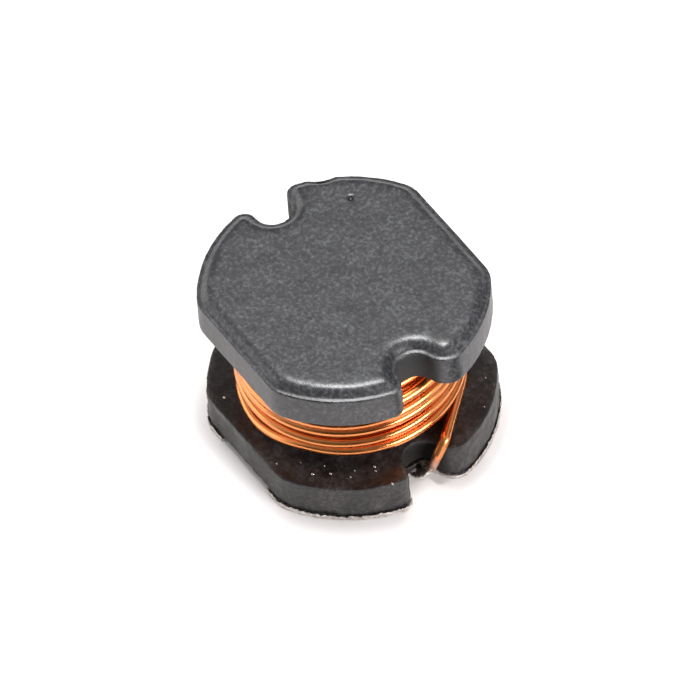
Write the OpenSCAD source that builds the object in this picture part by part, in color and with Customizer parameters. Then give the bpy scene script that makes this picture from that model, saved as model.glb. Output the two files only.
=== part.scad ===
// Open drum-core power inductor for surface mounting.
// A pressed ferrite drum carries a layered coil of enamelled copper wire. The wire's two ends
// drop through the notches of the bottom flange and are soldered to two plated terminals.
// X runs along the length through the notches, Z is up, and the origin is the middle of the base.

/* [Ferrite core] */
// Length over the two round ends
core_length = 7.8; // [7.2:0.1:8.4]
// Width of the top flange across its flats
top_flange_width = 6.9; // [6.4:0.1:7.1]
// Width of the bottom flange across its flats
bottom_flange_width = 7.0; // [6.4:0.1:7.1]
// Thickness of the top flange
top_flange_thickness = 1.25; // [1:0.05:1.6]
// Thickness of the bottom flange, without the terminals under it
bottom_flange_thickness = 1.15; // [0.9:0.05:1.5]
// Height of the winding window between the flanges
window_height = 2.64; // [2:0.02:3.4]
// Diameter of the post that the coil is wound on
post_diameter = 3.6; // [3:0.1:3.8]
// Bevel round the top face
top_bevel = 0.24; // [0.1:0.02:0.24]
// Flat land at the foot of the bevel, left by the rim of the press tool
bevel_land = 0.1; // [0.04:0.01:0.1]
// Radius of the corners between the flats and the round ends
corner_radius = 0.9; // [0.4:0.1:1.4]

/* [Wire notches] */
// Radius of the notch in each round end
notch_radius = 0.52; // [0.4:0.02:0.56]
// Depth of the notch, from the round end to its bottom
notch_depth = 1.02; // [0.85:0.01:1.1]
// Radius of the shoulders at the notch's mouth
shoulder_radius = 0.36; // [0.35:0.01:0.4]
// Radius of the softer shoulder that the finish lead passes over
soft_shoulder_radius = 0.6; // [0.35:0.05:0.7]

/* [Winding] */
// Diameter of the enamelled wire
wire_diameter = 0.3; // [0.2:0.01:0.34]
// Number of layers on the post, even so that both ends leave at the bottom flange
layers = 4; // [2:2:4]
// Air from one turn to the next along the post
turn_gap = 0.07; // [0.02:0.01:0.12]
// Air from one layer to the next
layer_gap = 0.02; // [0.02:0.01:0.06]
// Number of sides of the wire's section
wire_sides = 8; // [6:1:10]

/* [Terminals] */
// Thickness of the plated terminals
terminal_thickness = 0.1; // [0.06:0.01:0.2]
// Bare ferrite between the two terminals
terminal_gap = 2.1; // [1.6:0.1:2.6]
// Ledge by which a terminal's edge stands out past the flange
terminal_lap = 0.03; // [0:0.01:0.06]
// Width of the groove that takes a wire end under the flange
groove_width = 0.8; // [0.7:0.02:0.8]
// Length of the groove inwards from the notch
groove_length = 1.3; // [1:0.05:1.5]
// Ferrite left clear above the wire end in its groove
groove_headroom = 0.05; // [0.02:0.01:0.1]

/* [Hidden] */
$fn = 96;

// Colours
ferrite_colour = [0.33, 0.33, 0.35];
copper_colour = [0.78, 0.42, 0.22];
tin_colour = [0.72, 0.72, 0.70];
solder_colour = [0.80, 0.80, 0.79];

// Running clearances
seat_gap = 0.01;    // wire to the flange that it lies on
post_gap = 0.03;    // wire to the post
joint_gap = 0.01;   // solder to the walls of its groove
solder_lift = 0.02; // solder above the plane that the terminals stand on
cut = 1;            // how far a cutter runs past the face that it opens
wedge_side = 1.3;   // reach of a corner's wedge along its sides, in corner radii
wedge_tip = 2;      // reach of a corner's wedge along its middle, in corner radii

// Heights
floor_z = terminal_thickness + bottom_flange_thickness;
ceiling_z = floor_z + window_height;
top_z = ceiling_z + top_flange_thickness;

// Plan
end_radius = core_length / 2;
notch_x = end_radius - notch_depth + notch_radius;
notch_bottom_x = end_radius - notch_depth;
groove_depth = wire_diameter + groove_headroom;
groove_end_x = notch_bottom_x - groove_length;

// Coil
turn_pitch = wire_diameter + turn_gap;
layer_pitch = wire_diameter + layer_gap;
first_layer_radius = post_diameter / 2 + post_gap + wire_diameter / 2;
last_layer_radius = first_layer_radius + (layers - 1) * layer_pitch;
seat_z = floor_z + seat_gap + wire_diameter / 2;
top_level = floor((window_height - wire_diameter - 2 * seat_gap) / turn_pitch);
turns_per_layer = top_level - 1;

// Turns run clockwise from above. Level 0 lies on the bottom flange, and each layer runs between
// level 1 and the top level. A turn steps one level over part of its circle and is flat elsewhere.
lay_angle = -108;   // bearing at which one layer gives way to the next
step_from = 0.2;    // share of a turn where its step to the next level begins
step_to = 0.8;      // share of a turn where its step is complete
hidden_ring = 18;   // degrees between rings in the inner layers
outer_ring = 12;    // degrees between rings in the outer layer

// Wire ends: each bends over the notch's edge, drops through the notch and turns into the groove
bend_radius = 0.7 * wire_diameter;
bend_rings = 5;
wall_gap = 0.04;    // wire to the notch's wall
lead_reach = notch_radius - wire_diameter / 2 - wall_gap;
lead_z = terminal_thickness + wire_diameter / 2;
start_bearing = 38; // bearing of the start lead round the notch's centre, off the length axis
start_corner = [-notch_x + lead_reach * cos(start_bearing), lead_reach * sin(start_bearing)];
finish_corner = [notch_x + lead_reach / 2, lead_reach];
foot_x = -start_corner[0];
foot_y = start_corner[1];
tip_x = groove_end_x + wire_diameter;

// ---- small vector tools ----
function unit(v) = v / norm(v);
function clamp01(x) = min(max(x, 0), 1);
function ramp(x, from, to) = clamp01((x - from) / (to - from));
function polar(r, a, z) = [r * cos(a), r * sin(a), z];
function bearing(p) = atan2(p[1], p[0]);
function reversed(list) = [for (i = [len(list) - 1:-1:0]) list[i]];

// ---- path of the coil ----
// turned is the angle wound since the wire first passed lay_angle
layer_turn = 360 * turns_per_layer;
coil_end = layers * layer_turn;
start_tangent = bearing(start_corner) - acos(first_layer_radius / norm(start_corner));
finish_tangent = bearing(finish_corner) + acos(last_layer_radius / norm(finish_corner));
start_turned = lay_angle - start_tangent;
finish_turned = coil_end + 360 + lay_angle - finish_tangent;

// The last turn drops on to the flange, hops over the start lead and comes down again
function last_turn_level(turned) =
    1 - ramp(turned, coil_end - 54, coil_end - 15)
      + ramp(turned, coil_end + 12, coil_end + 57)
      - ramp(turned, coil_end + 82, coil_end + 127);

function layer_of(turned) = min(max(floor(turned / layer_turn), 0), layers - 1);

function steps_in_layer(turned) =
    let (turn = turned / 360, whole = floor(turn))
    whole + ramp(turn - whole, step_from, step_to);

function level(turned) =
    turned < 360 * step_from ? ramp(turned, -360 * step_from, 360 * step_from) :
    turned > coil_end - 54 ? last_turn_level(turned) :
    let (layer = layer_of(turned), steps = steps_in_layer(turned - layer * layer_turn))
    layer % 2 == 0 ? 1 + steps : top_level - steps;

function coil_radius(turned) =
    let (layer = layer_of(turned), into = (turned - layer * layer_turn) / 360)
    first_layer_radius + layer_pitch * (layer == 0 ? 0 : layer - 1 + ramp(into, 0, step_from));

function coil_point(turned) =
    polar(coil_radius(turned), lay_angle - turned, seat_z + turn_pitch * level(turned));

outer_start = coil_end - layer_turn;
hidden_angles = [for (a = [hidden_ring * ceil(start_turned / hidden_ring + 0.5):hidden_ring:
    outer_start - 1]) a];
outer_angles = [for (a = [outer_start:outer_ring:finish_turned - outer_ring / 2]) a];
coil_points = [for (a = concat([start_turned], hidden_angles, outer_angles, [finish_turned]))
    coil_point(a)];

// ---- path of the wire ends ----
// Rings of an arc of bend_radius that rounds a corner between two straight legs
function bend(before, corner, after) =
    let (
        back = unit(before - corner),
        on = unit(after - corner),
        half = acos(back * on) / 2,
        reach = bend_radius / tan(half),
        centre = corner + unit(back + on) * bend_radius / sin(half),
        spoke = corner + back * reach - centre,
        turn_axis = cross(spoke, corner + on * reach - centre),
        across = unit(cross(turn_axis, spoke)) * bend_radius,
        swing = 180 - 2 * half
    )
    [for (i = [0:bend_rings]) let (a = swing * i / bend_rings)
        centre + spoke * cos(a) + across * sin(a)];

function wire_end(tip, foot, corner, leaves_coil) =
    concat([tip], bend(tip, foot, corner), bend(foot, corner, leaves_coil));

start_lead = wire_end(
    [-tip_x, foot_y, lead_z],
    [-foot_x, foot_y, lead_z],
    [start_corner[0], start_corner[1], seat_z],
    coil_points[0]);
finish_lead = reversed(wire_end(
    [tip_x, foot_y, lead_z],
    [foot_x, foot_y, lead_z],
    [finish_corner[0], finish_corner[1], seat_z],
    coil_points[len(coil_points) - 1]));

// ---- sweep of the wire's section along its path ----
// Each ring has a side direction: straight up in the coil, and carried on without twist in the ends
path = concat(start_lead, coil_points, finish_lead);
first = len(start_lead);
last = len(path) - len(finish_lead) - 1;
function heading(i) = unit(path[min(i + 1, len(path) - 1)] - path[max(i - 1, 0)]);
function square_to(v, along) = unit(v - (v * along) * along);
function carried(rings) =
    [for (k = 0, side = square_to([0, 0, 1], heading(rings[0])); k < len(rings);
        k = k + 1, side = k < len(rings) ? square_to(side, heading(rings[k])) : side) side];
start_sides = reversed(carried([for (i = [first:-1:0]) i]));
coil_sides = [for (i = [first + 1:last - 1]) square_to([0, 0, 1], heading(i))];
finish_sides = carried([for (i = [last:len(path) - 1]) i]);
sides = concat(start_sides, coil_sides, finish_sides);

module swept_wire() {
    n = wire_sides;
    rings = len(path);
    points = [for (i = [0:rings - 1], k = [0:n - 1])
        let (a = 360 * (k + 0.5) / n)
        path[i] + wire_diameter / 2 * (cos(a) * sides[i] + sin(a) * cross(heading(i), sides[i]))];
    skin = [for (i = [0:rings - 2], k = [0:n - 1])
        let (m = (k + 1) % n)
        [i * n + k, (i + 1) * n + k, (i + 1) * n + m, i * n + m]];
    start_cap = [for (k = [0:n - 1]) k];
    finish_cap = [for (k = [n - 1:-1:0]) (rings - 1) * n + k];
    polyhedron(points, concat(skin, [start_cap, finish_cap]), convexity = 10);
}

// ---- flange forms ----
// A bevelled rim goes up the wall, in along the land and then up the bevel to the top face
module bevelled_disc(radius, thickness, bevel) {
    foot = radius - bevel_land;
    if (bevel > 0)
        rotate_extrude()
            polygon([[0, 0], [radius, 0], [radius, thickness - bevel], [foot, thickness - bevel],
                     [foot - bevel, thickness], [0, thickness]]);
    else
        cylinder(h = thickness, r = radius);
}

module bevelled_bar(width, thickness, bevel) {
    half = width / 2;
    foot = half - bevel_land;
    if (bevel > 0)
        rotate([90, 0, 90])
            linear_extrude(core_length + cut, center = true)
                polygon([[-half, 0], [half, 0], [half, thickness - bevel],
                         [foot, thickness - bevel], [foot - bevel, thickness],
                         [bevel - foot, thickness], [-foot, thickness - bevel],
                         [-half, thickness - bevel]]);
    else
        translate([-core_length, -half, 0])
            cube([2 * core_length, width, thickness]);
}

// U-shaped notch, open outwards, with the land and the bevel round its top edge
module notch_cutter(thickness, bevel) {
    translate([notch_x, 0, -cut])
        cylinder(h = thickness + 2 * cut, r = notch_radius);
    translate([notch_x, -notch_radius, -cut])
        cube([core_length, 2 * notch_radius, thickness + 2 * cut]);
    if (bevel > 0) {
        foot = notch_radius + bevel_land;
        mouth = foot + bevel + cut;
        translate([notch_x, 0, thickness - bevel])
            cylinder(h = bevel + cut, r1 = foot, r2 = mouth);
        translate([notch_x, 0, thickness - bevel])
            rotate([90, 0, 90])
                linear_extrude(core_length)
                    polygon([[-foot, 0], [foot, 0], [mouth, bevel + cut], [-mouth, bevel + cut]]);
    }
}

// Region between two face normals at a corner's centre, where the corner is rounded
module corner_wedge(centre, radius, normal_a, normal_b, thickness) {
    translate([0, 0, -cut])
        linear_extrude(thickness + 2 * cut)
            polygon([centre, centre + wedge_side * radius * normal_a,
                     centre + wedge_tip * radius * unit(normal_a + normal_b),
                     centre + wedge_side * radius * normal_b]);
}

module quarter(end, side) {
    mirror([end, 0, 0])
        mirror([0, side, 0])
            children();
}

// What a flange keeps of a bevelled disc inside one rounded corner
module rounded_corner(centre, radius, normal_a, normal_b, thickness, bevel) {
    intersection() {
        translate(centre)
            bevelled_disc(radius, thickness, bevel);
        corner_wedge(centre, radius, normal_a, normal_b, thickness);
    }
}

function corner_centre(radius, width) =
    let (y = width / 2 - corner_radius) [sqrt(pow(radius - corner_radius, 2) - pow(y, 2)), y];

// A shoulder blends into the notch's straight side, or into its round bottom when it is a wide one
function shoulder_centre(radius, shoulder) =
    let (
        reach = radius - shoulder,
        off = notch_radius + shoulder,
        straight_x = sqrt(pow(reach, 2) - pow(off, 2)),
        round_x = (pow(reach, 2) + pow(notch_x, 2) - pow(off, 2)) / (2 * notch_x)
    )
    straight_x < notch_x ? [round_x, sqrt(pow(reach, 2) - pow(round_x, 2))] : [straight_x, off];

function towards_notch(centre) =
    centre[0] < notch_x ? unit([notch_x, 0] - centre) : [0, -1];

function shoulder_in(end, side) = end == 0 && side == 0 ? soft_shoulder_radius : shoulder_radius;

// Disc with two flats, softened corners and a notch with rounded shoulders at each end
module flange(radius, width, thickness, bevel) {
    corner_at = corner_centre(radius, width);
    difference() {
        intersection() {
            bevelled_disc(radius, thickness, bevel);
            bevelled_bar(width, thickness, bevel);
        }
        for (end = [0, 1]) {
            mirror([end, 0, 0])
                notch_cutter(thickness, bevel);
            for (side = [0, 1]) {
                shoulder = shoulder_in(end, side);
                shoulder_at = shoulder_centre(radius, shoulder);
                quarter(end, side) {
                    corner_wedge(corner_at, corner_radius, [0, 1], unit(corner_at), thickness);
                    corner_wedge(shoulder_at, shoulder, towards_notch(shoulder_at),
                                 unit(shoulder_at), thickness);
                }
            }
        }
    }
    for (end = [0, 1], side = [0, 1]) {
        shoulder = shoulder_in(end, side);
        shoulder_at = shoulder_centre(radius, shoulder);
        quarter(end, side) {
            rounded_corner(corner_at, corner_radius, [0, 1], unit(corner_at), thickness, bevel);
            rounded_corner(shoulder_at, shoulder, towards_notch(shoulder_at),
                           unit(shoulder_at), thickness, bevel);
        }
    }
}

// Round-ended slot from the inner end of a groove out to reach_x, over the given heights
module groove_slot(width, end_x, reach_x, bottom, top) {
    translate([0, 0, bottom])
        linear_extrude(top - bottom) {
            translate([end_x + width / 2, 0])
                circle(d = width);
            translate([end_x + width / 2, -width / 2])
                square([reach_x - end_x - width / 2, width]);
        }
}

// ---- the pieces ----
module drum_core() {
    color(ferrite_colour)
        difference() {
            union() {
                translate([0, 0, terminal_thickness])
                    flange(end_radius, bottom_flange_width, bottom_flange_thickness, 0);
                translate([0, 0, ceiling_z])
                    flange(end_radius, top_flange_width, top_flange_thickness, top_bevel);
                translate([0, 0, floor_z - bottom_flange_thickness / 2])
                    cylinder(h = window_height + bottom_flange_thickness / 2
                                 + top_flange_thickness / 2, d = post_diameter);
            }
            for (end = [0, 1])
                mirror([end, 0, 0])
                    groove_slot(groove_width, groove_end_x, notch_x, terminal_thickness - cut,
                                terminal_thickness + groove_depth);
        }
}

module winding() {
    color(copper_colour)
        swept_wire();
}

// One half of the plated base: end 0 is at +X and end 1 at -X
module terminal(end) {
    color(tin_colour)
        difference() {
            flange(end_radius + terminal_lap, bottom_flange_width + 2 * terminal_lap,
                   terminal_thickness, 0);
            mirror([end, 0, 0]) {
                translate([-2 * core_length + terminal_gap / 2, -core_length, -cut])
                    cube([2 * core_length, 2 * core_length, terminal_thickness + 2 * cut]);
                groove_slot(groove_width, groove_end_x, notch_x, -cut, terminal_thickness + cut);
            }
        }
}

module solder() {
    wide = groove_width - 2 * joint_gap;
    color(solder_colour)
        difference() {
            groove_slot(wide, groove_end_x + joint_gap, foot_x - bend_radius, solder_lift,
                        terminal_thickness + groove_depth - joint_gap);
            translate([tip_x - joint_gap, foot_y, lead_z])
                rotate([0, 90, 0])
                    cylinder(h = core_length, d = wire_diameter + 2 * joint_gap);
        }
}

module terminal_a() {
    terminal(0);
}

module terminal_b() {
    terminal(1);
}

module solder_a() {
    solder();
}

module solder_b() {
    mirror([1, 0, 0])
        solder();
}

drum_core();
winding();
terminal_a();
terminal_b();
solder_a();
solder_b();
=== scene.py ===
"""Looks of the open drum-core power inductor: ferrite drum, enamelled copper coil, tinned terminals."""

import math

import bpy
import numpy as np
from mathutils import Matrix, Vector


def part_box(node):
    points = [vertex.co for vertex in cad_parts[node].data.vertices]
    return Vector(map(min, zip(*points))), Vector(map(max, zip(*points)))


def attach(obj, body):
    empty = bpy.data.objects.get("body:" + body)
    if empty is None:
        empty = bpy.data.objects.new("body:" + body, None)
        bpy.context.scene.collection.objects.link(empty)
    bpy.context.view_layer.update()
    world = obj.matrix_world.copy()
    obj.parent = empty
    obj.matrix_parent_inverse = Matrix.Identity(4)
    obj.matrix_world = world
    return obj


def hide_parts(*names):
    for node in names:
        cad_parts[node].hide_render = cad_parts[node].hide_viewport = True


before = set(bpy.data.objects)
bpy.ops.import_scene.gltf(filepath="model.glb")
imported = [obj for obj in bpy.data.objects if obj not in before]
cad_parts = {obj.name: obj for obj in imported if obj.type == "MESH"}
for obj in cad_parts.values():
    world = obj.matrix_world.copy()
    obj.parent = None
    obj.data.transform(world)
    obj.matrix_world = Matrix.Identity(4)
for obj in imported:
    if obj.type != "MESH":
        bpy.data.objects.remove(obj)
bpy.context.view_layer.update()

MM = 0.001

# ---- sizes of the part, in millimetres ----

low_corner, high_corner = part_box("drum_core")
terminal_thickness = low_corner.z / MM
height = high_corner.z / MM
flange_top = 1.25        # upper face of the lower flange
end_radius = 3.9         # round ends of both flanges
base_half_width = 3.5    # axis to a flat of the lower flange
notch_radius = 0.52
notch_depth = 1.02
notch_x = end_radius - notch_depth + notch_radius
groove_length = 1.3
groove_end_x = end_radius - notch_depth - groove_length
post_radius = 1.8
wire_diameter = 0.3
turn_gap = 0.07
layer_gap = 0.02
post_gap = 0.03
seat_gap = 0.01
layers = 4
turns_per_layer = 5
turn_pitch = wire_diameter + turn_gap
layer_pitch = wire_diameter + layer_gap
first_layer_radius = post_radius + post_gap + wire_diameter / 2
seat_z = flange_top + seat_gap + wire_diameter / 2
top_level = turns_per_layer + 1
lead_z = terminal_thickness + wire_diameter / 2


# ---- working in millimetres ----


def select_only(piece):
    """Leaves one object selected and active."""
    bpy.ops.object.select_all(action="DESELECT")
    piece.select_set(True)
    bpy.context.view_layer.objects.active = piece


def resize_mesh(piece, factor):
    """Scales a piece's mesh about the origin."""
    select_only(piece)
    bpy.ops.object.mode_set(mode="EDIT")
    bpy.ops.mesh.select_all(action="SELECT")
    bpy.ops.transform.resize(value=(factor, factor, factor), center_override=(0, 0, 0))
    bpy.ops.object.mode_set(mode="OBJECT")


def copy_of_node(node, name):
    """A copy of a CAD node in millimetres, with its loose triangles merged."""
    piece = bpy.data.objects.new(name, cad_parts[node].data.copy())
    bpy.context.scene.collection.objects.link(piece)
    resize_mesh(piece, 1 / MM)
    bpy.ops.object.mode_set(mode="EDIT")
    bpy.ops.mesh.select_all(action="SELECT")
    bpy.ops.mesh.remove_doubles(threshold=0.0005)
    bpy.ops.object.mode_set(mode="OBJECT")
    return piece


def add_modifier(piece, kind, **settings):
    """Adds a modifier with these settings and applies it."""
    select_only(piece)
    modifier = piece.modifiers.new(kind.lower(), kind)
    for setting, value in settings.items():
        setattr(modifier, setting, value)
    bpy.ops.object.modifier_apply(modifier=modifier.name)


def clouds(name, size, depth=2):
    """Cloud texture whose lumps are about size millimetres across."""
    texture = bpy.data.textures.new(name, "CLOUDS")
    texture.noise_scale = size
    texture.noise_depth = depth
    return texture


def mesh_points(piece, what="co"):
    """Places or normals of a piece's vertices, one row each."""
    values = np.empty(len(piece.data.vertices) * 3)
    piece.data.vertices.foreach_get(what, values)
    return values.reshape(-1, 3)


def fade(values, full, none):
    """1 at full, 0 at none and a straight slope between, for arrays."""
    return np.clip((values - none) / (full - none), 0, 1)


def weight_group(piece, name, weights):
    """A vertex group with these weights, rounded to tenths."""
    group = piece.vertex_groups.new(name=name)
    tenths = np.round(np.clip(weights, 0, 1) * 10).astype(int)
    for tenth in range(1, 11):
        group.add(np.flatnonzero(tenths == tenth).tolist(), tenth / 10, "REPLACE")
    return name


def store_values(piece, name, values):
    """Keeps one number per vertex for the material to read."""
    layer = piece.data.attributes.new(name, "FLOAT", "POINT")
    layer.data.foreach_set("value", np.asarray(values, dtype=np.float32))


def store_relief(piece, rounds, full):
    """Keeps how far each point stands out of its surroundings: ridge 1, level 0.5, crease 0."""
    mesh = piece.data
    count = len(mesh.vertices)
    ends = np.empty(len(mesh.edges) * 2, dtype=int)
    mesh.edges.foreach_get("vertices", ends)
    near, far = ends[0::2], ends[1::2]
    neighbours = np.bincount(near, minlength=count) + np.bincount(far, minlength=count)
    places = mesh_points(piece)
    worn = places.copy()

    def evened(values):
        total = np.bincount(near, values[far], count) + np.bincount(far, values[near], count)
        return (values + total / neighbours) / 2

    for _ in range(rounds):
        for axis in range(3):
            worn[:, axis] = evened(worn[:, axis])
    proud = ((places - worn) * mesh_points(piece, "normal")).sum(axis=1)
    for _ in range(3):
        proud = evened(proud)
    store_values(piece, "relief", np.clip(0.5 + proud / full / 2, 0, 1))


def finish_piece(piece, materials, node):
    """Brings a piece from millimetres to the frame's metres and hands it to the frame."""
    resize_mesh(piece, MM)
    bpy.ops.object.shade_smooth()
    piece.vertex_groups.clear()
    piece.data.materials.clear()
    for material in materials:
        piece.data.materials.append(material)
    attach(piece, "root")
    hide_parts(node)
    return piece


# ---- materials ----


def colour(code):
    """Linear colour from an sRGB hex code."""
    channels = [int(code[i:i + 2], 16) / 255 for i in (1, 3, 5)]
    linear = [c / 12.92 if c <= 0.04045 else ((c + 0.055) / 1.055) ** 2.4 for c in channels]
    return (*linear, 1.0)


def start_material(name):
    """A node material that holds only its shader and output."""
    material = bpy.data.materials.new(name)
    material.use_nodes = True
    tree = material.node_tree
    tree.nodes.clear()
    shader = add_node(tree, "BsdfPrincipled")
    add_node(tree, "OutputMaterial", links={"Surface": shader.outputs["BSDF"]})
    return material, tree, shader


def add_node(tree, kind, settings=None, inputs=None, links=None, stops=None):
    """Adds a node with its settings, unlinked inputs, linked inputs and, on a ramp, colour stops."""
    node = tree.nodes.new("ShaderNode" + kind)
    for setting, value in (settings or {}).items():
        setattr(node, setting, value)
    for socket, value in (inputs or {}).items():
        node.inputs[socket].default_value = value
    for socket, source in (links or {}).items():
        tree.links.new(source, node.inputs[socket])
    if stops:
        elements = node.color_ramp.elements
        while len(elements) < len(stops):
            elements.new(0.5)
        for element, (position, code) in zip(elements, stops):
            element.position = position
            element.color = colour(code)
    return node


# sockets of a Mix node that mixes colours: its number sockets bear the same names
MIX_FACTOR = 0
MIX_UNDER = 6
MIX_OVER = 7
MIX_RESULT = 2


def ferrite_grain(tree, place):
    """Grain and clouds that every ferrite surface shares."""
    # grain of 0.15 mm and finer, drawn coarser than the real 0.01 mm grains so that it shows
    grain = add_node(tree, "TexNoise", inputs={"Scale": 9500.0, "Detail": 3.0, "Roughness": 0.75},
                     links={"Vector": place}).outputs["Fac"]
    # clouds of about 0.6 mm, where the pressed powder was a little denser
    cloud = add_node(tree, "TexNoise", inputs={"Scale": 1600.0, "Detail": 2.0},
                     links={"Vector": place}).outputs["Fac"]
    return grain, cloud


def bare_ferrite():
    """Nickel-zinc ferrite, pressed and sintered: a slate-grey matt ceramic with a fine mottled grain."""
    material, tree, shader = start_material("sintered_nickel_zinc_ferrite")
    place = add_node(tree, "TexCoord").outputs["Object"]
    relief = add_node(tree, "Attribute", {"attribute_name": "relief"}).outputs["Fac"]
    handled = add_node(tree, "Attribute", {"attribute_name": "polish"}).outputs["Fac"]
    notch_shade_and_dirt = add_node(tree, "Attribute", {"attribute_name": "notch_shade_and_dirt"}).outputs["Fac"]
    grain, cloud = ferrite_grain(tree, place)
    tone = add_node(tree, "Mix", inputs={"Factor": 0.15}, links={"A": grain, "B": cloud}).outputs[0]
    base = add_node(tree, "ValToRGB", links={"Fac": tone},
                    stops=[(0.34, "#09090a"), (0.5, "#232326"), (0.7, "#515257")]).outputs["Color"]
    # dark pores of about 0.1 mm, some 0.8 mm apart, where a lump of powder broke out: painted shade of
    # these pits, which have no depth in the mesh
    to_pore = add_node(tree, "TexVoronoi", inputs={"Scale": 1300.0},
                       links={"Vector": place}).outputs["Distance"]
    pit_shade = add_node(tree, "MapRange",
                    inputs={"From Min": 0.03, "From Max": 0.1, "To Min": 1.0, "To Max": 0.0},
                    links={"Value": to_pore}).outputs[0]
    base = add_node(tree, "Mix", {"data_type": "RGBA"}, {MIX_OVER: colour("#0c0c0d")},
                    {MIX_FACTOR: pit_shade, MIX_UNDER: base}).outputs[MIX_RESULT]
    # the creases are painted darker: painted shade, and the dust that stays there
    crease_shade_and_dirt = add_node(tree, "MapRange",
                      inputs={"From Min": 0.28, "From Max": 0.44, "To Min": 0.85, "To Max": 0.0},
                      links={"Value": relief}).outputs[0]
    base = add_node(tree, "Mix", {"data_type": "RGBA"}, {MIX_OVER: colour("#0b0a0b")},
                    {MIX_FACTOR: crease_shade_and_dirt, MIX_UNDER: base}).outputs[MIX_RESULT]
    # painted shade and dirt on the notch walls below the top rim
    base = add_node(tree, "Mix", {"data_type": "RGBA"}, {MIX_OVER: colour("#08080a")},
                    {MIX_FACTOR: notch_shade_and_dirt, MIX_UNDER: base}).outputs[MIX_RESULT]
    tree.links.new(base, shader.inputs["Base Color"])
    # the brow of the top flange is polished by handling, the notch's wall is rough as pressed
    ridge = add_node(tree, "MapRange", inputs={"From Min": 0.52, "From Max": 0.62},
                     links={"Value": relief}).outputs[0]
    polish = add_node(tree, "Math", {"operation": "MULTIPLY"},
                      links={0: handled, 1: ridge}).outputs[0]
    rough = add_node(tree, "MapRange", inputs={"To Min": 0.34, "To Max": 0.48},
                     links={"Value": grain}).outputs[0]
    rough = add_node(tree, "Math", {"operation": "MULTIPLY_ADD"}, {1: -0.1},
                     {0: polish, 2: rough}).outputs[0]
    rough = add_node(tree, "Math", {"operation": "MULTIPLY_ADD"}, {1: 0.3},
                     {0: notch_shade_and_dirt, 2: rough}).outputs[0]
    tree.links.new(rough, shader.inputs["Roughness"])
    bump = add_node(tree, "Bump", inputs={"Strength": 0.45, "Distance": 0.00002},
                    links={"Height": tone}).outputs[0]
    tree.links.new(bump, shader.inputs["Normal"])
    shader.inputs["IOR"].default_value = 1.68
    return material


def darker_lower_ferrite():
    """The same ferrite on the lower flange, darker, warmer and less matt: partly painted shade from the
    top flange above it, partly a thin brown film of flux and varnish.
    """
    material, tree, shader = start_material("shaded_flux_stained_ferrite")
    place = add_node(tree, "TexCoord").outputs["Object"]
    relief = add_node(tree, "Attribute", {"attribute_name": "relief"}).outputs["Fac"]
    hem_band_and_notch_shade = add_node(tree, "Attribute", {"attribute_name": "hem_band_and_notch_shade"}).outputs["Fac"]
    grain, cloud = ferrite_grain(tree, place)
    tone = add_node(tree, "Mix", inputs={"Factor": 0.4}, links={"A": grain, "B": cloud}).outputs[0]
    base = add_node(tree, "ValToRGB", links={"Fac": tone},
                    stops=[(0.38, "#121111"), (0.5, "#282526"), (0.64, "#4a4645")]).outputs["Color"]
    # the creases are painted darker: painted shade, and the flux that gathers there
    crease_shade_and_dirt = add_node(tree, "MapRange",
                      inputs={"From Min": 0.28, "From Max": 0.44, "To Min": 0.8, "To Max": 0.0},
                      links={"Value": relief}).outputs[0]
    base = add_node(tree, "Mix", {"data_type": "RGBA"}, {MIX_OVER: colour("#090707")},
                    {MIX_FACTOR: crease_shade_and_dirt, MIX_UNDER: base}).outputs[MIX_RESULT]
    # a dark band just above the pads, and painted shade with flux in the lower notch
    base = add_node(tree, "Mix", {"data_type": "RGBA"}, {MIX_OVER: colour("#0e0907")},
                    {MIX_FACTOR: hem_band_and_notch_shade, MIX_UNDER: base}).outputs[MIX_RESULT]
    tree.links.new(base, shader.inputs["Base Color"])
    rough = add_node(tree, "Math", {"operation": "MULTIPLY"}, {1: 0.76}, {0: cloud}).outputs[0]
    rough = add_node(tree, "Math", {"operation": "MULTIPLY_ADD"}, {1: 0.22},
                     {0: tone, 2: rough}).outputs[0]
    rough = add_node(tree, "Math", {"operation": "MULTIPLY_ADD"}, {1: 0.4},
                     {0: hem_band_and_notch_shade, 2: rough}).outputs[0]
    tree.links.new(rough, shader.inputs["Roughness"])
    bump = add_node(tree, "Bump", inputs={"Strength": 0.6, "Distance": 0.00003},
                    links={"Height": tone}).outputs[0]
    tree.links.new(bump, shader.inputs["Normal"])
    shader.inputs["IOR"].default_value = 1.48
    return material


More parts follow.
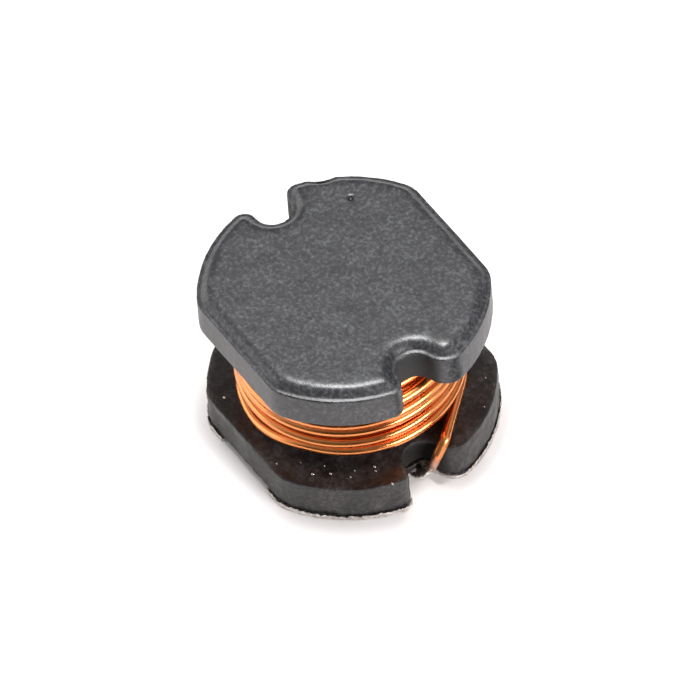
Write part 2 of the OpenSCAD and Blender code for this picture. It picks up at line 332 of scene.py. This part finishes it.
def enamelled_copper():
    """Drawn copper under clear polyurethane enamel: pale along its highlights, red between turns."""
    material, tree, shader = start_material("enamelled_copper_wire")
    place = add_node(tree, "TexCoord").outputs["Object"]
    tinned = add_node(tree, "Attribute", {"attribute_name": "tinned"}).outputs["Fac"]
    heated = add_node(tree, "Attribute", {"attribute_name": "heated"}).outputs["Fac"]
    # drift of about 1 mm, as the enamel's thickness varies along the wire
    drift = add_node(tree, "TexNoise", inputs={"Scale": 900.0, "Detail": 2.0},
                     links={"Vector": place}).outputs["Fac"]
    base = add_node(tree, "ValToRGB", links={"Fac": drift},
                    stops=[(0.3, "#ea8846"), (0.7, "#f49c58")]).outputs["Color"]
    # enamel dulled by the soldering heat, low on the leads
    base = add_node(tree, "Mix", {"data_type": "RGBA"}, {MIX_OVER: colour("#d68c60")},
                    {MIX_FACTOR: heated, MIX_UNDER: base}).outputs[MIX_RESULT]
    # frosted tin of about 0.15 mm on the bared ends
    frost = add_node(tree, "TexNoise", inputs={"Scale": 7000.0, "Detail": 2.0},
                     links={"Vector": place}).outputs["Fac"]
    tin = add_node(tree, "ValToRGB", links={"Fac": frost},
                   stops=[(0.35, "#8d6f5c"), (0.6, "#e6d6c6")]).outputs["Color"]
    base = add_node(tree, "Mix", {"data_type": "RGBA"},
                    links={MIX_FACTOR: tinned, MIX_UNDER: base, MIX_OVER: tin}).outputs[MIX_RESULT]
    tree.links.new(base, shader.inputs["Base Color"])
    rough = add_node(tree, "Math", {"operation": "MULTIPLY"}, {1: 0.56}, {0: drift}).outputs[0]
    rough = add_node(tree, "Math", {"operation": "MULTIPLY_ADD"}, {1: 0.16},
                     {0: heated, 2: rough}).outputs[0]
    rough = add_node(tree, "Math", {"operation": "MULTIPLY_ADD"}, {1: 0.1},
                     {0: tinned, 2: rough}).outputs[0]
    tree.links.new(rough, shader.inputs["Roughness"])
    bump = add_node(tree, "Bump", inputs={"Distance": 0.00002},
                    links={"Height": frost, "Strength": tinned}).outputs[0]
    tree.links.new(bump, shader.inputs["Normal"])
    shader.inputs["Metallic"].default_value = 1.0
    # the clear enamel
    shader.inputs["Coat Weight"].default_value = 0.5
    shader.inputs["Coat Roughness"].default_value = 0.2
    shader.inputs["Coat IOR"].default_value = 1.5
    return material


def tin_skin(name, dark, light, smooth, rough):
    """Tin that froze from a melt: bright, with a frosted and slightly lumpy skin."""
    material, tree, shader = start_material(name)
    place = add_node(tree, "TexCoord").outputs["Object"]
    # frost of about 0.1 mm, the size of the crystals in a quickly set joint
    frost = add_node(tree, "TexNoise", inputs={"Scale": 9000.0, "Detail": 3.0},
                     links={"Vector": place}).outputs["Fac"]
    base = add_node(tree, "ValToRGB", links={"Fac": frost},
                    stops=[(0.3, dark), (0.65, light)]).outputs["Color"]
    tree.links.new(base, shader.inputs["Base Color"])
    skin = add_node(tree, "MapRange", inputs={"To Min": smooth, "To Max": rough},
                    links={"Value": frost}).outputs[0]
    tree.links.new(skin, shader.inputs["Roughness"])
    bump = add_node(tree, "Bump", inputs={"Strength": 0.4, "Distance": 0.00002},
                    links={"Height": frost}).outputs[0]
    tree.links.new(bump, shader.inputs["Normal"])
    shader.inputs["Metallic"].default_value = 1.0
    return material


def solder_with_flux_and_shade():
    """Bright tin solder below, and dark brown over the mound: painted shade of the notch, with burnt
    flux where it wasn't wiped.
    """
    material, tree, shader = start_material("solder_under_flux_and_shade")
    place = add_node(tree, "TexCoord").outputs["Object"]
    up = add_node(tree, "SeparateXYZ", links={"Vector": place}).outputs["Z"]
    # frost of about 0.15 mm, which also makes the edge of the dark flux and painted shade ragged
    frost = add_node(tree, "TexNoise", inputs={"Scale": 6000.0, "Detail": 3.0},
                     links={"Vector": place}).outputs["Fac"]
    # the dark flux and painted shade start about 0.15 mm above the pads; heights are in metres here
    ragged = add_node(tree, "Math", {"operation": "MULTIPLY"}, {1: 1.2}, {0: frost}).outputs[0]
    reach = add_node(tree, "Math", {"operation": "MULTIPLY_ADD"}, {1: 2500.0},
                     {0: up, 2: ragged}).outputs[0]
    dark_flux_and_shade = add_node(tree, "MapRange", inputs={"From Min": 0.9, "From Max": 1.1},
                    links={"Value": reach}).outputs[0]
    tin = add_node(tree, "ValToRGB", links={"Fac": frost},
                   stops=[(0.3, "#b9b4ae"), (0.65, "#efebe6")]).outputs["Color"]
    # dark brown over the mound: painted shade of the notch, and burnt flux
    base = add_node(tree, "Mix", {"data_type": "RGBA"}, {MIX_OVER: colour("#1d110a")},
                    {MIX_FACTOR: dark_flux_and_shade, MIX_UNDER: tin}).outputs[MIX_RESULT]
    tree.links.new(base, shader.inputs["Base Color"])
    bare = add_node(tree, "Math", {"operation": "SUBTRACT"}, {0: 1.0}, {1: dark_flux_and_shade}).outputs[0]
    tree.links.new(bare, shader.inputs["Metallic"])
    rough = add_node(tree, "MapRange", inputs={"To Min": 0.4, "To Max": 0.65},
                     links={"Value": frost}).outputs[0]
    tree.links.new(rough, shader.inputs["Roughness"])
    bump = add_node(tree, "Bump", inputs={"Strength": 0.4, "Distance": 0.00002},
                    links={"Height": frost}).outputs[0]
    tree.links.new(bump, shader.inputs["Normal"])
    return material


# ---- ferrite drum ----

DRUM_VOXEL = 0.037        # fine enough to hold the bevel
BROW_ROUNDS = 75          # smoothing that wears the brow to a soft round
SHOULDER_ROUNDS = 6
SWELL_SIZE = 0.6          # unevenness of the whole pressing
SWELL_DEPTH = 0.02
ROUGH_SIZE = 0.35         # rougher skin of the lower flange
ROUGH_DEPTH = 0.05
CHIP_SIZE = 0.18
CHIP_DEPTH = 0.07
DENT_PLACE = (-3.5, 1.62, height - 0.1)
DENT_DEPTH = 0.09
PIT_PLACE = (-2.32, 1.78, height)
PIT_DEPTH = 0.08


def ferrite_drum(bare, darker_lower):
    """The drum with its edges worn soft, as tumbled after pressing, and its lower edge chipped."""
    drum = copy_of_node("drum_core", "ferrite_drum")
    add_modifier(drum, "REMESH", mode="VOXEL", voxel_size=DRUM_VOXEL)
    add_modifier(drum, "SMOOTH", factor=0.5, iterations=3)
    places = mesh_points(drum)
    radius = np.hypot(places[:, 0], places[:, 1])
    z = places[:, 2]
    # the brow is the top flange's upper edge and its bevel
    brow = weight_group(drum, "brow", fade(z, height - 0.1, height - 0.2))
    add_modifier(drum, "SMOOTH", factor=0.5, iterations=BROW_ROUNDS, vertex_group=brow)
    # the shoulder is the lower flange outside the coil
    outside = fade(radius, 2.9, 2.6)
    shoulder = weight_group(drum, "shoulder", outside * fade(z, 1.2, 1.5))
    add_modifier(drum, "SMOOTH", factor=0.5, iterations=SHOULDER_ROUNDS, vertex_group=shoulder)
    add_modifier(drum, "DISPLACE", texture=clouds("pressed_unevenness", SWELL_SIZE),
                 strength=SWELL_DEPTH, mid_level=1.0)
    add_modifier(drum, "DISPLACE", texture=clouds("rough_lower_flange", ROUGH_SIZE),
                 strength=ROUGH_DEPTH, mid_level=1.0, vertex_group=shoulder)
    # the hem is the lower flange's bottom edge, chipped from handling
    hem = weight_group(drum, "hem", outside * fade(z, 0.15, 0.3))
    add_modifier(drum, "DISPLACE", texture=clouds("chips", CHIP_SIZE, 3), strength=CHIP_DEPTH,
                 mid_level=1.0, vertex_group=hem)
    # one dent in the rim and one pit in the top face, both near the rear notch
    to_dent = np.linalg.norm(places - DENT_PLACE, axis=1)
    dented = weight_group(drum, "dented", fade(to_dent, 0.1, 0.45))
    add_modifier(drum, "DISPLACE", strength=-DENT_DEPTH, mid_level=0.0, vertex_group=dented)
    to_pit = np.linalg.norm(places - PIT_PLACE, axis=1)
    pitted = weight_group(drum, "pitted", fade(to_pit, 0.03, 0.1))
    add_modifier(drum, "DISPLACE", strength=-PIT_DEPTH, mid_level=0.0, vertex_group=pitted)
    store_drum_values(drum, places)
    # half the triangles hold the same shape, and bring the piece under 200,000
    add_modifier(drum, "DECIMATE", ratio=0.5)
    drum = finish_piece(drum, [bare, darker_lower], "drum_core")
    centres = np.empty(len(drum.data.polygons) * 3)
    drum.data.polygons.foreach_get("center", centres)
    # the lower flange takes the darker ferrite, partly painted shade from the top flange above it
    low = centres.reshape(-1, 3)[:, 2] < (flange_top + 0.1) * MM
    drum.data.polygons.foreach_set("material_index", low.astype(int))
    return drum


def store_drum_values(drum, places):
    """What the ferrite's materials read: relief, handled brow, painted shade and dirt on the notch
    walls, and a dark band just above the pads with painted shade and flux in the lower notch.
    """
    store_relief(drum, 10, 0.03)
    to_notch = np.hypot(np.abs(places[:, 0]) - notch_x, places[:, 1])
    notch_rim = fade(to_notch, 0.9, 1.1)
    handled = fade(places[:, 2], height - 0.08, height - 0.14)
    store_values(drum, "polish", handled * (0.9 + 0.3 * notch_rim))
    z = mesh_points(drum)[:, 2]
    ragged = 0.02 * np.sin(11.0 * places[:, 0] + 2.0) * np.sin(13.0 * places[:, 1] + 1.0)
    over_pads = fade(np.abs(places[:, 0]), 1.4, 0.9)
    in_notch = fade(to_notch, 0.56, 0.75)
    # a dark band just above the pads, and painted shade with flux in the lower notch
    burnt = np.maximum(fade(z + ragged, 0.12, 0.17) * over_pads, in_notch)
    # the notch walls below the top rim get painted shade and dirt
    store_values(drum, "notch_shade_and_dirt", in_notch * fade(z, height - 0.35, height - 0.25))
    store_values(drum, "hem_band_and_notch_shade", burnt * fade(z, 1.1, 1.25))


# ---- coil ----

# all turns are counted in degrees along the wire, from where the coil leaves the lower flange
LAY = -108.0          # bearing at which one layer gives way to the next
LAYER_TURN = 360.0 * turns_per_layer
COIL_END = LAYER_TURN * layers
OUTER_START = COIL_END - LAYER_TURN
STEP_FROM = 0.2       # share of a turn where its step to the next level begins
STEP_TO = 0.8         # share of a turn where its step is complete
DROP_FROM = COIL_END - 54
DROP_TO = COIL_END - 15
HOP_FROM = COIL_END + 12
HOP_TO = COIL_END + 57
LAND_FROM = COIL_END + 82
LAND_TO = COIL_END + 127
SAG_FROM = OUTER_START + 249
LEAN = 0.1            # millimetres that the outer turns lean up or down their layer
PAIRING = 0.025       # and how far they crowd together on one side
WAVE = 0.012          # slack of the outer layer
RING_STEP = 5         # degrees from one ring of the drawn wire to the next
TAPER = 0.24          # share that the wire lost where its enamel was burnt off


def rise(x, start, stop):
    """0 before start, 1 after stop, and a soft climb in between."""
    t = min(max((x - start) / (stop - start), 0.0), 1.0)
    return t * t * (3 - 2 * t) * 0.5 + t * 0.5


def last_turn_level(turned):
    """The last turn drops to the flange, hops over the start lead and comes down again."""
    return (1 - rise(turned, DROP_FROM, DROP_TO) + rise(turned, HOP_FROM, HOP_TO)
            - rise(turned, LAND_FROM, LAND_TO))


def level(turned):
    """Height of the wire in turns above the flange."""
    if turned < 360 * STEP_FROM:
        return rise(turned, -360 * STEP_FROM, 360 * STEP_FROM)
    if turned > DROP_FROM:
        return last_turn_level(turned)
    layer = min(int(turned // LAYER_TURN), layers - 1)
    into = (turned - layer * LAYER_TURN) / 360
    steps = math.floor(into) + rise(into - math.floor(into), STEP_FROM, STEP_TO)
    return 1 + steps if layer % 2 == 0 else top_level - steps


def lay_error(turned):
    """How far a turn of the outer layer strays up from its even place, as the guide let it."""
    if turned < OUTER_START:
        return 0.0
    here = level(turned)
    lean = -LEAN * math.sin(math.radians(turned - SAG_FROM))
    pairing = PAIRING * (1 + math.cos(math.radians(turned - SAG_FROM) / 2))
    free = rise(here, 1.1, 1.9) * (1 - rise(here, 5.2, 5.9))
    return (lean + pairing) * free


def coil_radius(turned):
    """Distance of the wire's middle from the drum's axis."""
    layer = min(max(int(turned // LAYER_TURN), 0), layers - 1)
    into = (turned - layer * LAYER_TURN) / 360
    climb = 0 if layer == 0 else layer - 1 + rise(into, 0, STEP_FROM)
    return first_layer_radius + layer_pitch * climb


def slack(turned):
    """Small waves in how tightly the outer layer was pulled."""
    if turned < OUTER_START or turned > COIL_END:
        return 0.0
    a = math.radians(turned)
    return WAVE * (math.sin(a * 0.83) + math.sin(a * 1.37 + 2.0)) + WAVE


def coil_point(turned):
    """Middle of the wire after turning this many degrees."""
    angle = math.radians(LAY - turned)
    radius = coil_radius(turned) + slack(turned)
    height_here = seat_z + turn_pitch * level(turned) + lay_error(turned)
    return Vector((radius * math.cos(angle), radius * math.sin(angle), height_here))


def rounded_route(points, bend):
    """The points joined by straight legs, with each corner rounded to the bend radius."""
    rings = 8
    route = [points[0]]
    for before, corner, after in zip(points, points[1:], points[2:]):
        back = (before - corner).normalized()
        on = (after - corner).normalized()
        half = back.angle(on) / 2
        reach = bend / math.tan(half)
        centre = corner + (back + on).normalized() * (bend / math.sin(half))
        first = corner + back * reach - centre
        last = corner + on * reach - centre
        swing = first.angle(last)
        across = (last - first * math.cos(swing)) / math.sin(swing)
        for i in range(rings + 1):
            turn = swing * i / rings
            route.append(centre + first * math.cos(turn) + across * math.sin(turn))
    route.append(points[-1])
    return route


def wire_route():
    """Middle line of the whole wire, from the start lead's tip to the finish lead's tip."""
    wall_gap = 0.04
    reach = notch_radius - wire_diameter / 2 - wall_gap
    side = math.radians(38)
    start_corner = Vector((-notch_x + reach * math.cos(side), reach * math.sin(side), seat_z))
    foot = Vector((-start_corner.x, start_corner.y, lead_z))
    tip_x = groove_end_x + wire_diameter
    start_points = [Vector((-tip_x, foot.y, lead_z)), Vector((-foot.x, foot.y, lead_z)),
                    start_corner]
    # the finish lead passes over the soft shoulder, bends down its wall and leans to its groove
    finish_corner = Vector((foot.x + 0.22, 0.74, seat_z))
    finish_points = [finish_corner, Vector((foot.x + 0.28, 0.42, seat_z - 0.4)),
                     Vector((foot.x + 0.05, 0.34, lead_z)), Vector((tip_x, foot.y, lead_z))]
    # each lead leaves the coil along its tangent
    last_radius = first_layer_radius + layer_pitch * (layers - 1)
    start_tangent = math.atan2(start_corner.y, start_corner.x) - math.acos(
        first_layer_radius / start_corner.xy.length)
    finish_tangent = math.atan2(finish_corner.y, finish_corner.x) + math.acos(
        last_radius / finish_corner.xy.length)
    start_turned = LAY - math.degrees(start_tangent)
    finish_turned = COIL_END + 360 + LAY - math.degrees(finish_tangent)
    count = int((finish_turned - start_turned) / RING_STEP)
    coil = [coil_point(start_turned + (finish_turned - start_turned) * i / count)
            for i in range(count + 1)]
    start = rounded_route(start_points + [coil[0]], 0.7 * wire_diameter)
    finish = rounded_route([coil[-1]] + finish_points, 0.6 * wire_diameter)
    return start[:-1] + coil + finish[1:]


def coil_wire(material):
    """The round wire, drawn along its route, a little thinner where its enamel was burnt off."""
    route = wire_route()
    line = bpy.data.curves.new("coil_wire", "CURVE")
    line.dimensions = "3D"
    line.bevel_depth = wire_diameter / 2
    line.bevel_resolution = 6
    line.use_fill_caps = True
    line.twist_mode = "MINIMUM"
    spline = line.splines.new("POLY")
    spline.points.add(len(route) - 1)
    for point, place in zip(spline.points, route):
        point.co = (*place, 1)
        burnt = min(max((1.15 - place.z) / 0.6, 0.0), 1.0)
        point.radius = 1 - TAPER * burnt
    wire = bpy.data.objects.new("coil_wire", line)
    bpy.context.scene.collection.objects.link(wire)
    select_only(wire)
    bpy.ops.object.convert(target="MESH")
    wire = bpy.context.view_layer.objects.active
    z = mesh_points(wire)[:, 2]
    store_values(wire, "tinned", fade(z, 0.38, 0.62))
    store_values(wire, "heated", fade(z, 0.8, 1.3))
    return finish_piece(wire, [material], "winding")


# ---- terminals and solder ----

TIN_VOXEL = 0.032
TIN_CLIMB = 0.24          # how far the dipped tin crept up the flange's wall in places
TIN_RAG = 0.05            # how far its edge falls short of the flange's
SOLDER_VOXEL = 0.026
MOUND_PLACE = (2.97, 0.15, 0.12)
MOUND_SIZE = (0.26, 0.32, 0.13)
FLECK_SINK = 0.01         # how deep a speck's middle lies in the varnish
FLECK_SHAPE = (1.0, 0.7, 0.5)


def terminal(node, material):
    """A dipped terminal: its rim climbs the flange's wall a little, and its edge is ragged."""
    plate = copy_of_node(node, node + "_plate")
    add_modifier(plate, "REMESH", mode="VOXEL", voxel_size=TIN_VOXEL)
    places = mesh_points(plate)
    radius = np.hypot(places[:, 0], places[:, 1])
    flat_edge = fade(np.abs(places[:, 1]), base_half_width - 0.01, base_half_width - 0.06)
    round_edge = fade(radius, end_radius - 0.01, end_radius - 0.06)
    rim = np.maximum(flat_edge, round_edge)
    top = fade(places[:, 2], terminal_thickness, terminal_thickness / 2)
    climbing = weight_group(plate, "climbing", rim * top)
    add_modifier(plate, "DISPLACE", texture=clouds(node + "_climb", 0.12, 3), strength=TIN_CLIMB,
                 mid_level=0.15, direction="Z", vertex_group=climbing)
    ragged = weight_group(plate, "ragged", rim)
    add_modifier(plate, "DISPLACE", texture=clouds(node + "_ragged", 0.25, 3), strength=TIN_RAG,
                 mid_level=1.0, vertex_group=ragged)
    return finish_piece(plate, [material], node)


def solder_joint(node, material, side):
    """Solder set in its groove, with a small mound round the foot of the wire."""
    joint = copy_of_node(node, node + "_joint")
    x, y, z = MOUND_PLACE
    bpy.ops.object.select_all(action="DESELECT")
    bpy.ops.mesh.primitive_uv_sphere_add(segments=24, ring_count=14, radius=1.0,
                                         location=(side * x, y, z))
    mound = bpy.context.view_layer.objects.active
    bpy.ops.object.mode_set(mode="EDIT")
    bpy.ops.transform.resize(value=MOUND_SIZE)
    bpy.ops.object.mode_set(mode="OBJECT")
    bpy.ops.object.transform_apply(location=True, rotation=True, scale=True)
    joint.select_set(True)
    mound.select_set(True)
    bpy.context.view_layer.objects.active = joint
    bpy.ops.object.join()
    add_modifier(joint, "REMESH", mode="VOXEL", voxel_size=SOLDER_VOXEL)
    add_modifier(joint, "SMOOTH", factor=0.5, iterations=4)
    add_modifier(joint, "DISPLACE", texture=clouds(node + "_lumps", 0.2), strength=0.04,
                 mid_level=1.0)
    return finish_piece(joint, [material], node)


# place on the lower flange and radius of each pale speck, in millimetres
FLECKS = [(-1.41, -3.12, 0.05), (2.15, -2.68, 0.045), (2.43, -2.29, 0.05), (2.83, -1.92, 0.035),
          (2.72, -1.72, 0.03), (2.92, -1.22, 0.05), (3.05, -1.28, 0.035), (3.68, -1.16, 0.045),
          (2.13, 2.84, 0.03), (2.94, 2.26, 0.03), (1.3, -3.25, 0.03), (1.64, -2.72, 0.025),
          (2.11, -2.27, 0.025)]


def solder_flecks(material):
    """Fine specks that spat from the joints and stuck in the varnish on the lower flange."""
    bpy.ops.object.select_all(action="DESELECT")
    specks = []
    for x, y, radius in FLECKS:
        bpy.ops.mesh.primitive_ico_sphere_add(subdivisions=2, radius=radius,
                                              location=(x, y, flange_top - FLECK_SINK))
        speck = bpy.context.view_layer.objects.active
        speck.scale = FLECK_SHAPE
        specks.append(speck)
    for speck in specks:
        speck.select_set(True)
    bpy.ops.object.transform_apply(location=True, rotation=True, scale=True)
    bpy.ops.object.join()
    flecks = bpy.context.view_layer.objects.active
    flecks.name = "solder_flecks"
    add_modifier(flecks, "DISPLACE", texture=clouds("spatter", 0.05), strength=0.02)
    resize_mesh(flecks, MM)
    bpy.ops.object.shade_smooth()
    flecks.data.materials.append(material)
    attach(flecks, "root")


# ---- stage: camera, floor, lamps and world ----

CAMERA_AZIMUTH = 60.357
CAMERA_ELEVATION = 50.2
CAMERA_ROLL = -5.214
CAMERA_DISTANCE = 500
AIM_HEIGHT = 2.568
AIM_RIGHT = 0.0288
AIM_DOWN = 0.138
COIL_MIDDLE = Vector((0, 0, 2.5 * MM))
# colours of the stage are linear, and leave the white floor a trace warm
FLOOR_PAPER = (0.8, 0.77, 0.765, 1)
FLOOR_GLOW = (1.0, 0.955, 0.95, 1)
CARD_BLACK = (0.01, 0.01, 0.01, 1)


def place_camera():
    """Camera with a very long lens, almost parallel, rolled a little to the left."""
    azimuth = math.radians(CAMERA_AZIMUTH)
    elevation = math.radians(CAMERA_ELEVATION)
    roll = math.radians(CAMERA_ROLL)
    back = Vector((math.sin(azimuth) * math.cos(elevation),
                   -math.cos(azimuth) * math.cos(elevation), math.sin(elevation)))
    level_right = Vector((math.cos(azimuth), math.sin(azimuth), 0))
    level_up = back.cross(level_right)
    right = level_right * math.cos(roll) + level_up * math.sin(roll)
    up = level_up * math.cos(roll) - level_right * math.sin(roll)
    aim = Vector((0, 0, AIM_HEIGHT * MM)) + right * AIM_RIGHT * MM - up * AIM_DOWN * MM
    data = bpy.data.cameras.new("camera")
    data.sensor_width = 36
    data.lens = 973.1
    data.clip_start = 0.05
    data.clip_end = 5
    camera = bpy.data.objects.new("camera", data)
    bpy.context.scene.collection.objects.link(camera)
    turn = Matrix((right, up, back)).transposed().to_4x4()
    camera.matrix_world = Matrix.Translation(aim + back * (CAMERA_DISTANCE * MM)) @ turn
    bpy.context.scene.camera = camera


def add_lamp(name, bearing, elevation, distance, width, depth, power):
    """Softbox that points at the part. Bearing is in plan from +X, lengths in millimetres."""
    round_part = math.radians(bearing)
    up = math.radians(elevation)
    away = Vector((math.cos(round_part) * math.cos(up), math.sin(round_part) * math.cos(up),
                   math.sin(up)))
    data = bpy.data.lights.new(name, "AREA")
    data.shape = "RECTANGLE"
    data.size = width * MM
    data.size_y = depth * MM
    data.energy = power
    lamp = bpy.data.objects.new(name, data)
    bpy.context.scene.collection.objects.link(lamp)
    lamp.location = away * distance * MM + COIL_MIDDLE
    lamp.rotation_mode = "QUATERNION"
    lamp.rotation_quaternion = away.to_track_quat("Z", "Y")
    lamp.visible_camera = False


def seen_directly(tree):
    """1 for rays from the camera, from a mirror-like surface or through glass, else 0."""
    path = add_node(tree, "LightPath")
    first = add_node(tree, "Math", {"operation": "MAXIMUM"},
                     links={0: path.outputs["Is Camera Ray"],
                            1: path.outputs["Is Glossy Ray"]}).outputs[0]
    return add_node(tree, "Math", {"operation": "MAXIMUM"},
                    links={0: first, 1: path.outputs["Is Transmission Ray"]}).outputs[0]


def place_floor():
    """Plain white floor that keeps the part's soft shadow."""
    bpy.ops.object.select_all(action="DESELECT")
    bpy.ops.mesh.primitive_plane_add(size=0.6, location=(0, 0, -0.002 * MM))
    floor = bpy.context.view_layer.objects.active
    floor.name = "floor"
    material = bpy.data.materials.new("white_studio_floor")
    material.use_nodes = True
    tree = material.node_tree
    tree.nodes.clear()
    paper = add_node(tree, "BsdfDiffuse", inputs={"Color": FLOOR_PAPER}).outputs[0]
    strength = add_node(tree, "Math", {"operation": "MULTIPLY"}, {1: 0.05},
                        {0: seen_directly(tree)}).outputs[0]
    glow = add_node(tree, "Emission", inputs={"Color": FLOOR_GLOW},
                    links={"Strength": strength}).outputs[0]
    both = add_node(tree, "AddShader", links={0: paper, 1: glow}).outputs[0]
    add_node(tree, "OutputMaterial", links={"Surface": both})
    floor.data.materials.append(material)


def light_world():
    """Studio surroundings: bright overhead, dim near the horizon and behind the camera."""
    world = bpy.data.worlds.new("studio")
    bpy.context.scene.world = world
    world.use_nodes = True
    tree = world.node_tree
    tree.nodes.clear()
    towards = add_node(tree, "TexCoord").outputs["Generated"]
    up = add_node(tree, "SeparateXYZ", links={"Vector": towards}).outputs["Z"]
    ceiling = add_node(tree, "MapRange",
                       inputs={"From Min": 0.2, "From Max": 0.65, "To Min": 0.1, "To Max": 0.66},
                       links={"Value": up}).outputs[0]
    bearing = math.radians(CAMERA_AZIMUTH - 90)
    to_camera = add_node(tree, "VectorMath", {"operation": "DOT_PRODUCT"},
                         {1: (math.cos(bearing), math.sin(bearing), 0)},
                         {0: towards}).outputs["Value"]
    shade = add_node(tree, "MapRange",
                     inputs={"From Min": 0.25, "From Max": 0.7, "To Min": 1.0, "To Max": 0.25},
                     links={"Value": to_camera}).outputs[0]
    room = add_node(tree, "Math", {"operation": "MULTIPLY"},
                    links={0: ceiling, 1: shade}).outputs[0]
    # the camera itself sees plain white behind the part
    seen = add_node(tree, "LightPath").outputs["Is Camera Ray"]
    strength = add_node(tree, "Math", {"operation": "MAXIMUM"},
                        links={0: room, 1: seen}).outputs[0]
    background = add_node(tree, "Background", inputs={"Color": colour("#ffffff")},
                          links={"Strength": strength}).outputs[0]
    add_node(tree, "OutputWorld", links={"Surface": background})


def place_cards():
    """Black cards on the floor in front and at the right, seen only in what shines."""
    material = bpy.data.materials.new("black_card")
    material.use_nodes = True
    tree = material.node_tree
    tree.nodes.clear()
    black = add_node(tree, "BsdfDiffuse", inputs={"Color": CARD_BLACK}).outputs[0]
    add_node(tree, "OutputMaterial", links={"Surface": black})
    above_floor = Vector((0, 0, 0.02 * MM))
    # name, bearing in degrees, distance and radius in millimetres
    cards = [("front_card", -38, 160, 150), ("right_card", 18, 7.8, 2.4)]
    for name, degrees, distance, radius in cards:
        bpy.ops.object.select_all(action="DESELECT")
        bpy.ops.mesh.primitive_circle_add(vertices=24, radius=radius * MM, fill_type="TRIFAN")
        card = bpy.context.view_layer.objects.active
        card.name = name
        bearing = math.radians(degrees)
        ahead = Vector((math.cos(bearing), math.sin(bearing), 0))
        card.location = ahead * distance * MM + above_floor
        card.visible_camera = False
        card.visible_diffuse = False
        card.visible_shadow = False
        card.data.materials.append(material)


bpy.context.scene.view_settings.view_transform = "Standard"
place_camera()
place_floor()
light_world()
place_cards()
add_lamp("overhead_softbox", bearing=150.4, elevation=86.5, distance=120, width=23, depth=23,
         power=0.15)
add_lamp("left_softbox", bearing=-138, elevation=10, distance=70, width=80, depth=28, power=0.016)
add_lamp("right_softbox", bearing=12, elevation=14, distance=70, width=36, depth=12, power=0.048)

ferrite_drum(bare_ferrite(), darker_lower_ferrite())
coil_wire(enamelled_copper())
dipped_tin = tin_skin("dipped_tin", "#b3aaa5", "#eae4df", 0.35, 0.6)
terminal("terminal_a", dipped_tin)
terminal("terminal_b", dipped_tin)
solder = solder_with_flux_and_shade()
solder_joint("solder_a", solder, 1)
solder_joint("solder_b", solder, -1)
solder_flecks(tin_skin("solder_spatter", "#c9c4be", "#f4f1ec", 0.3, 0.5))
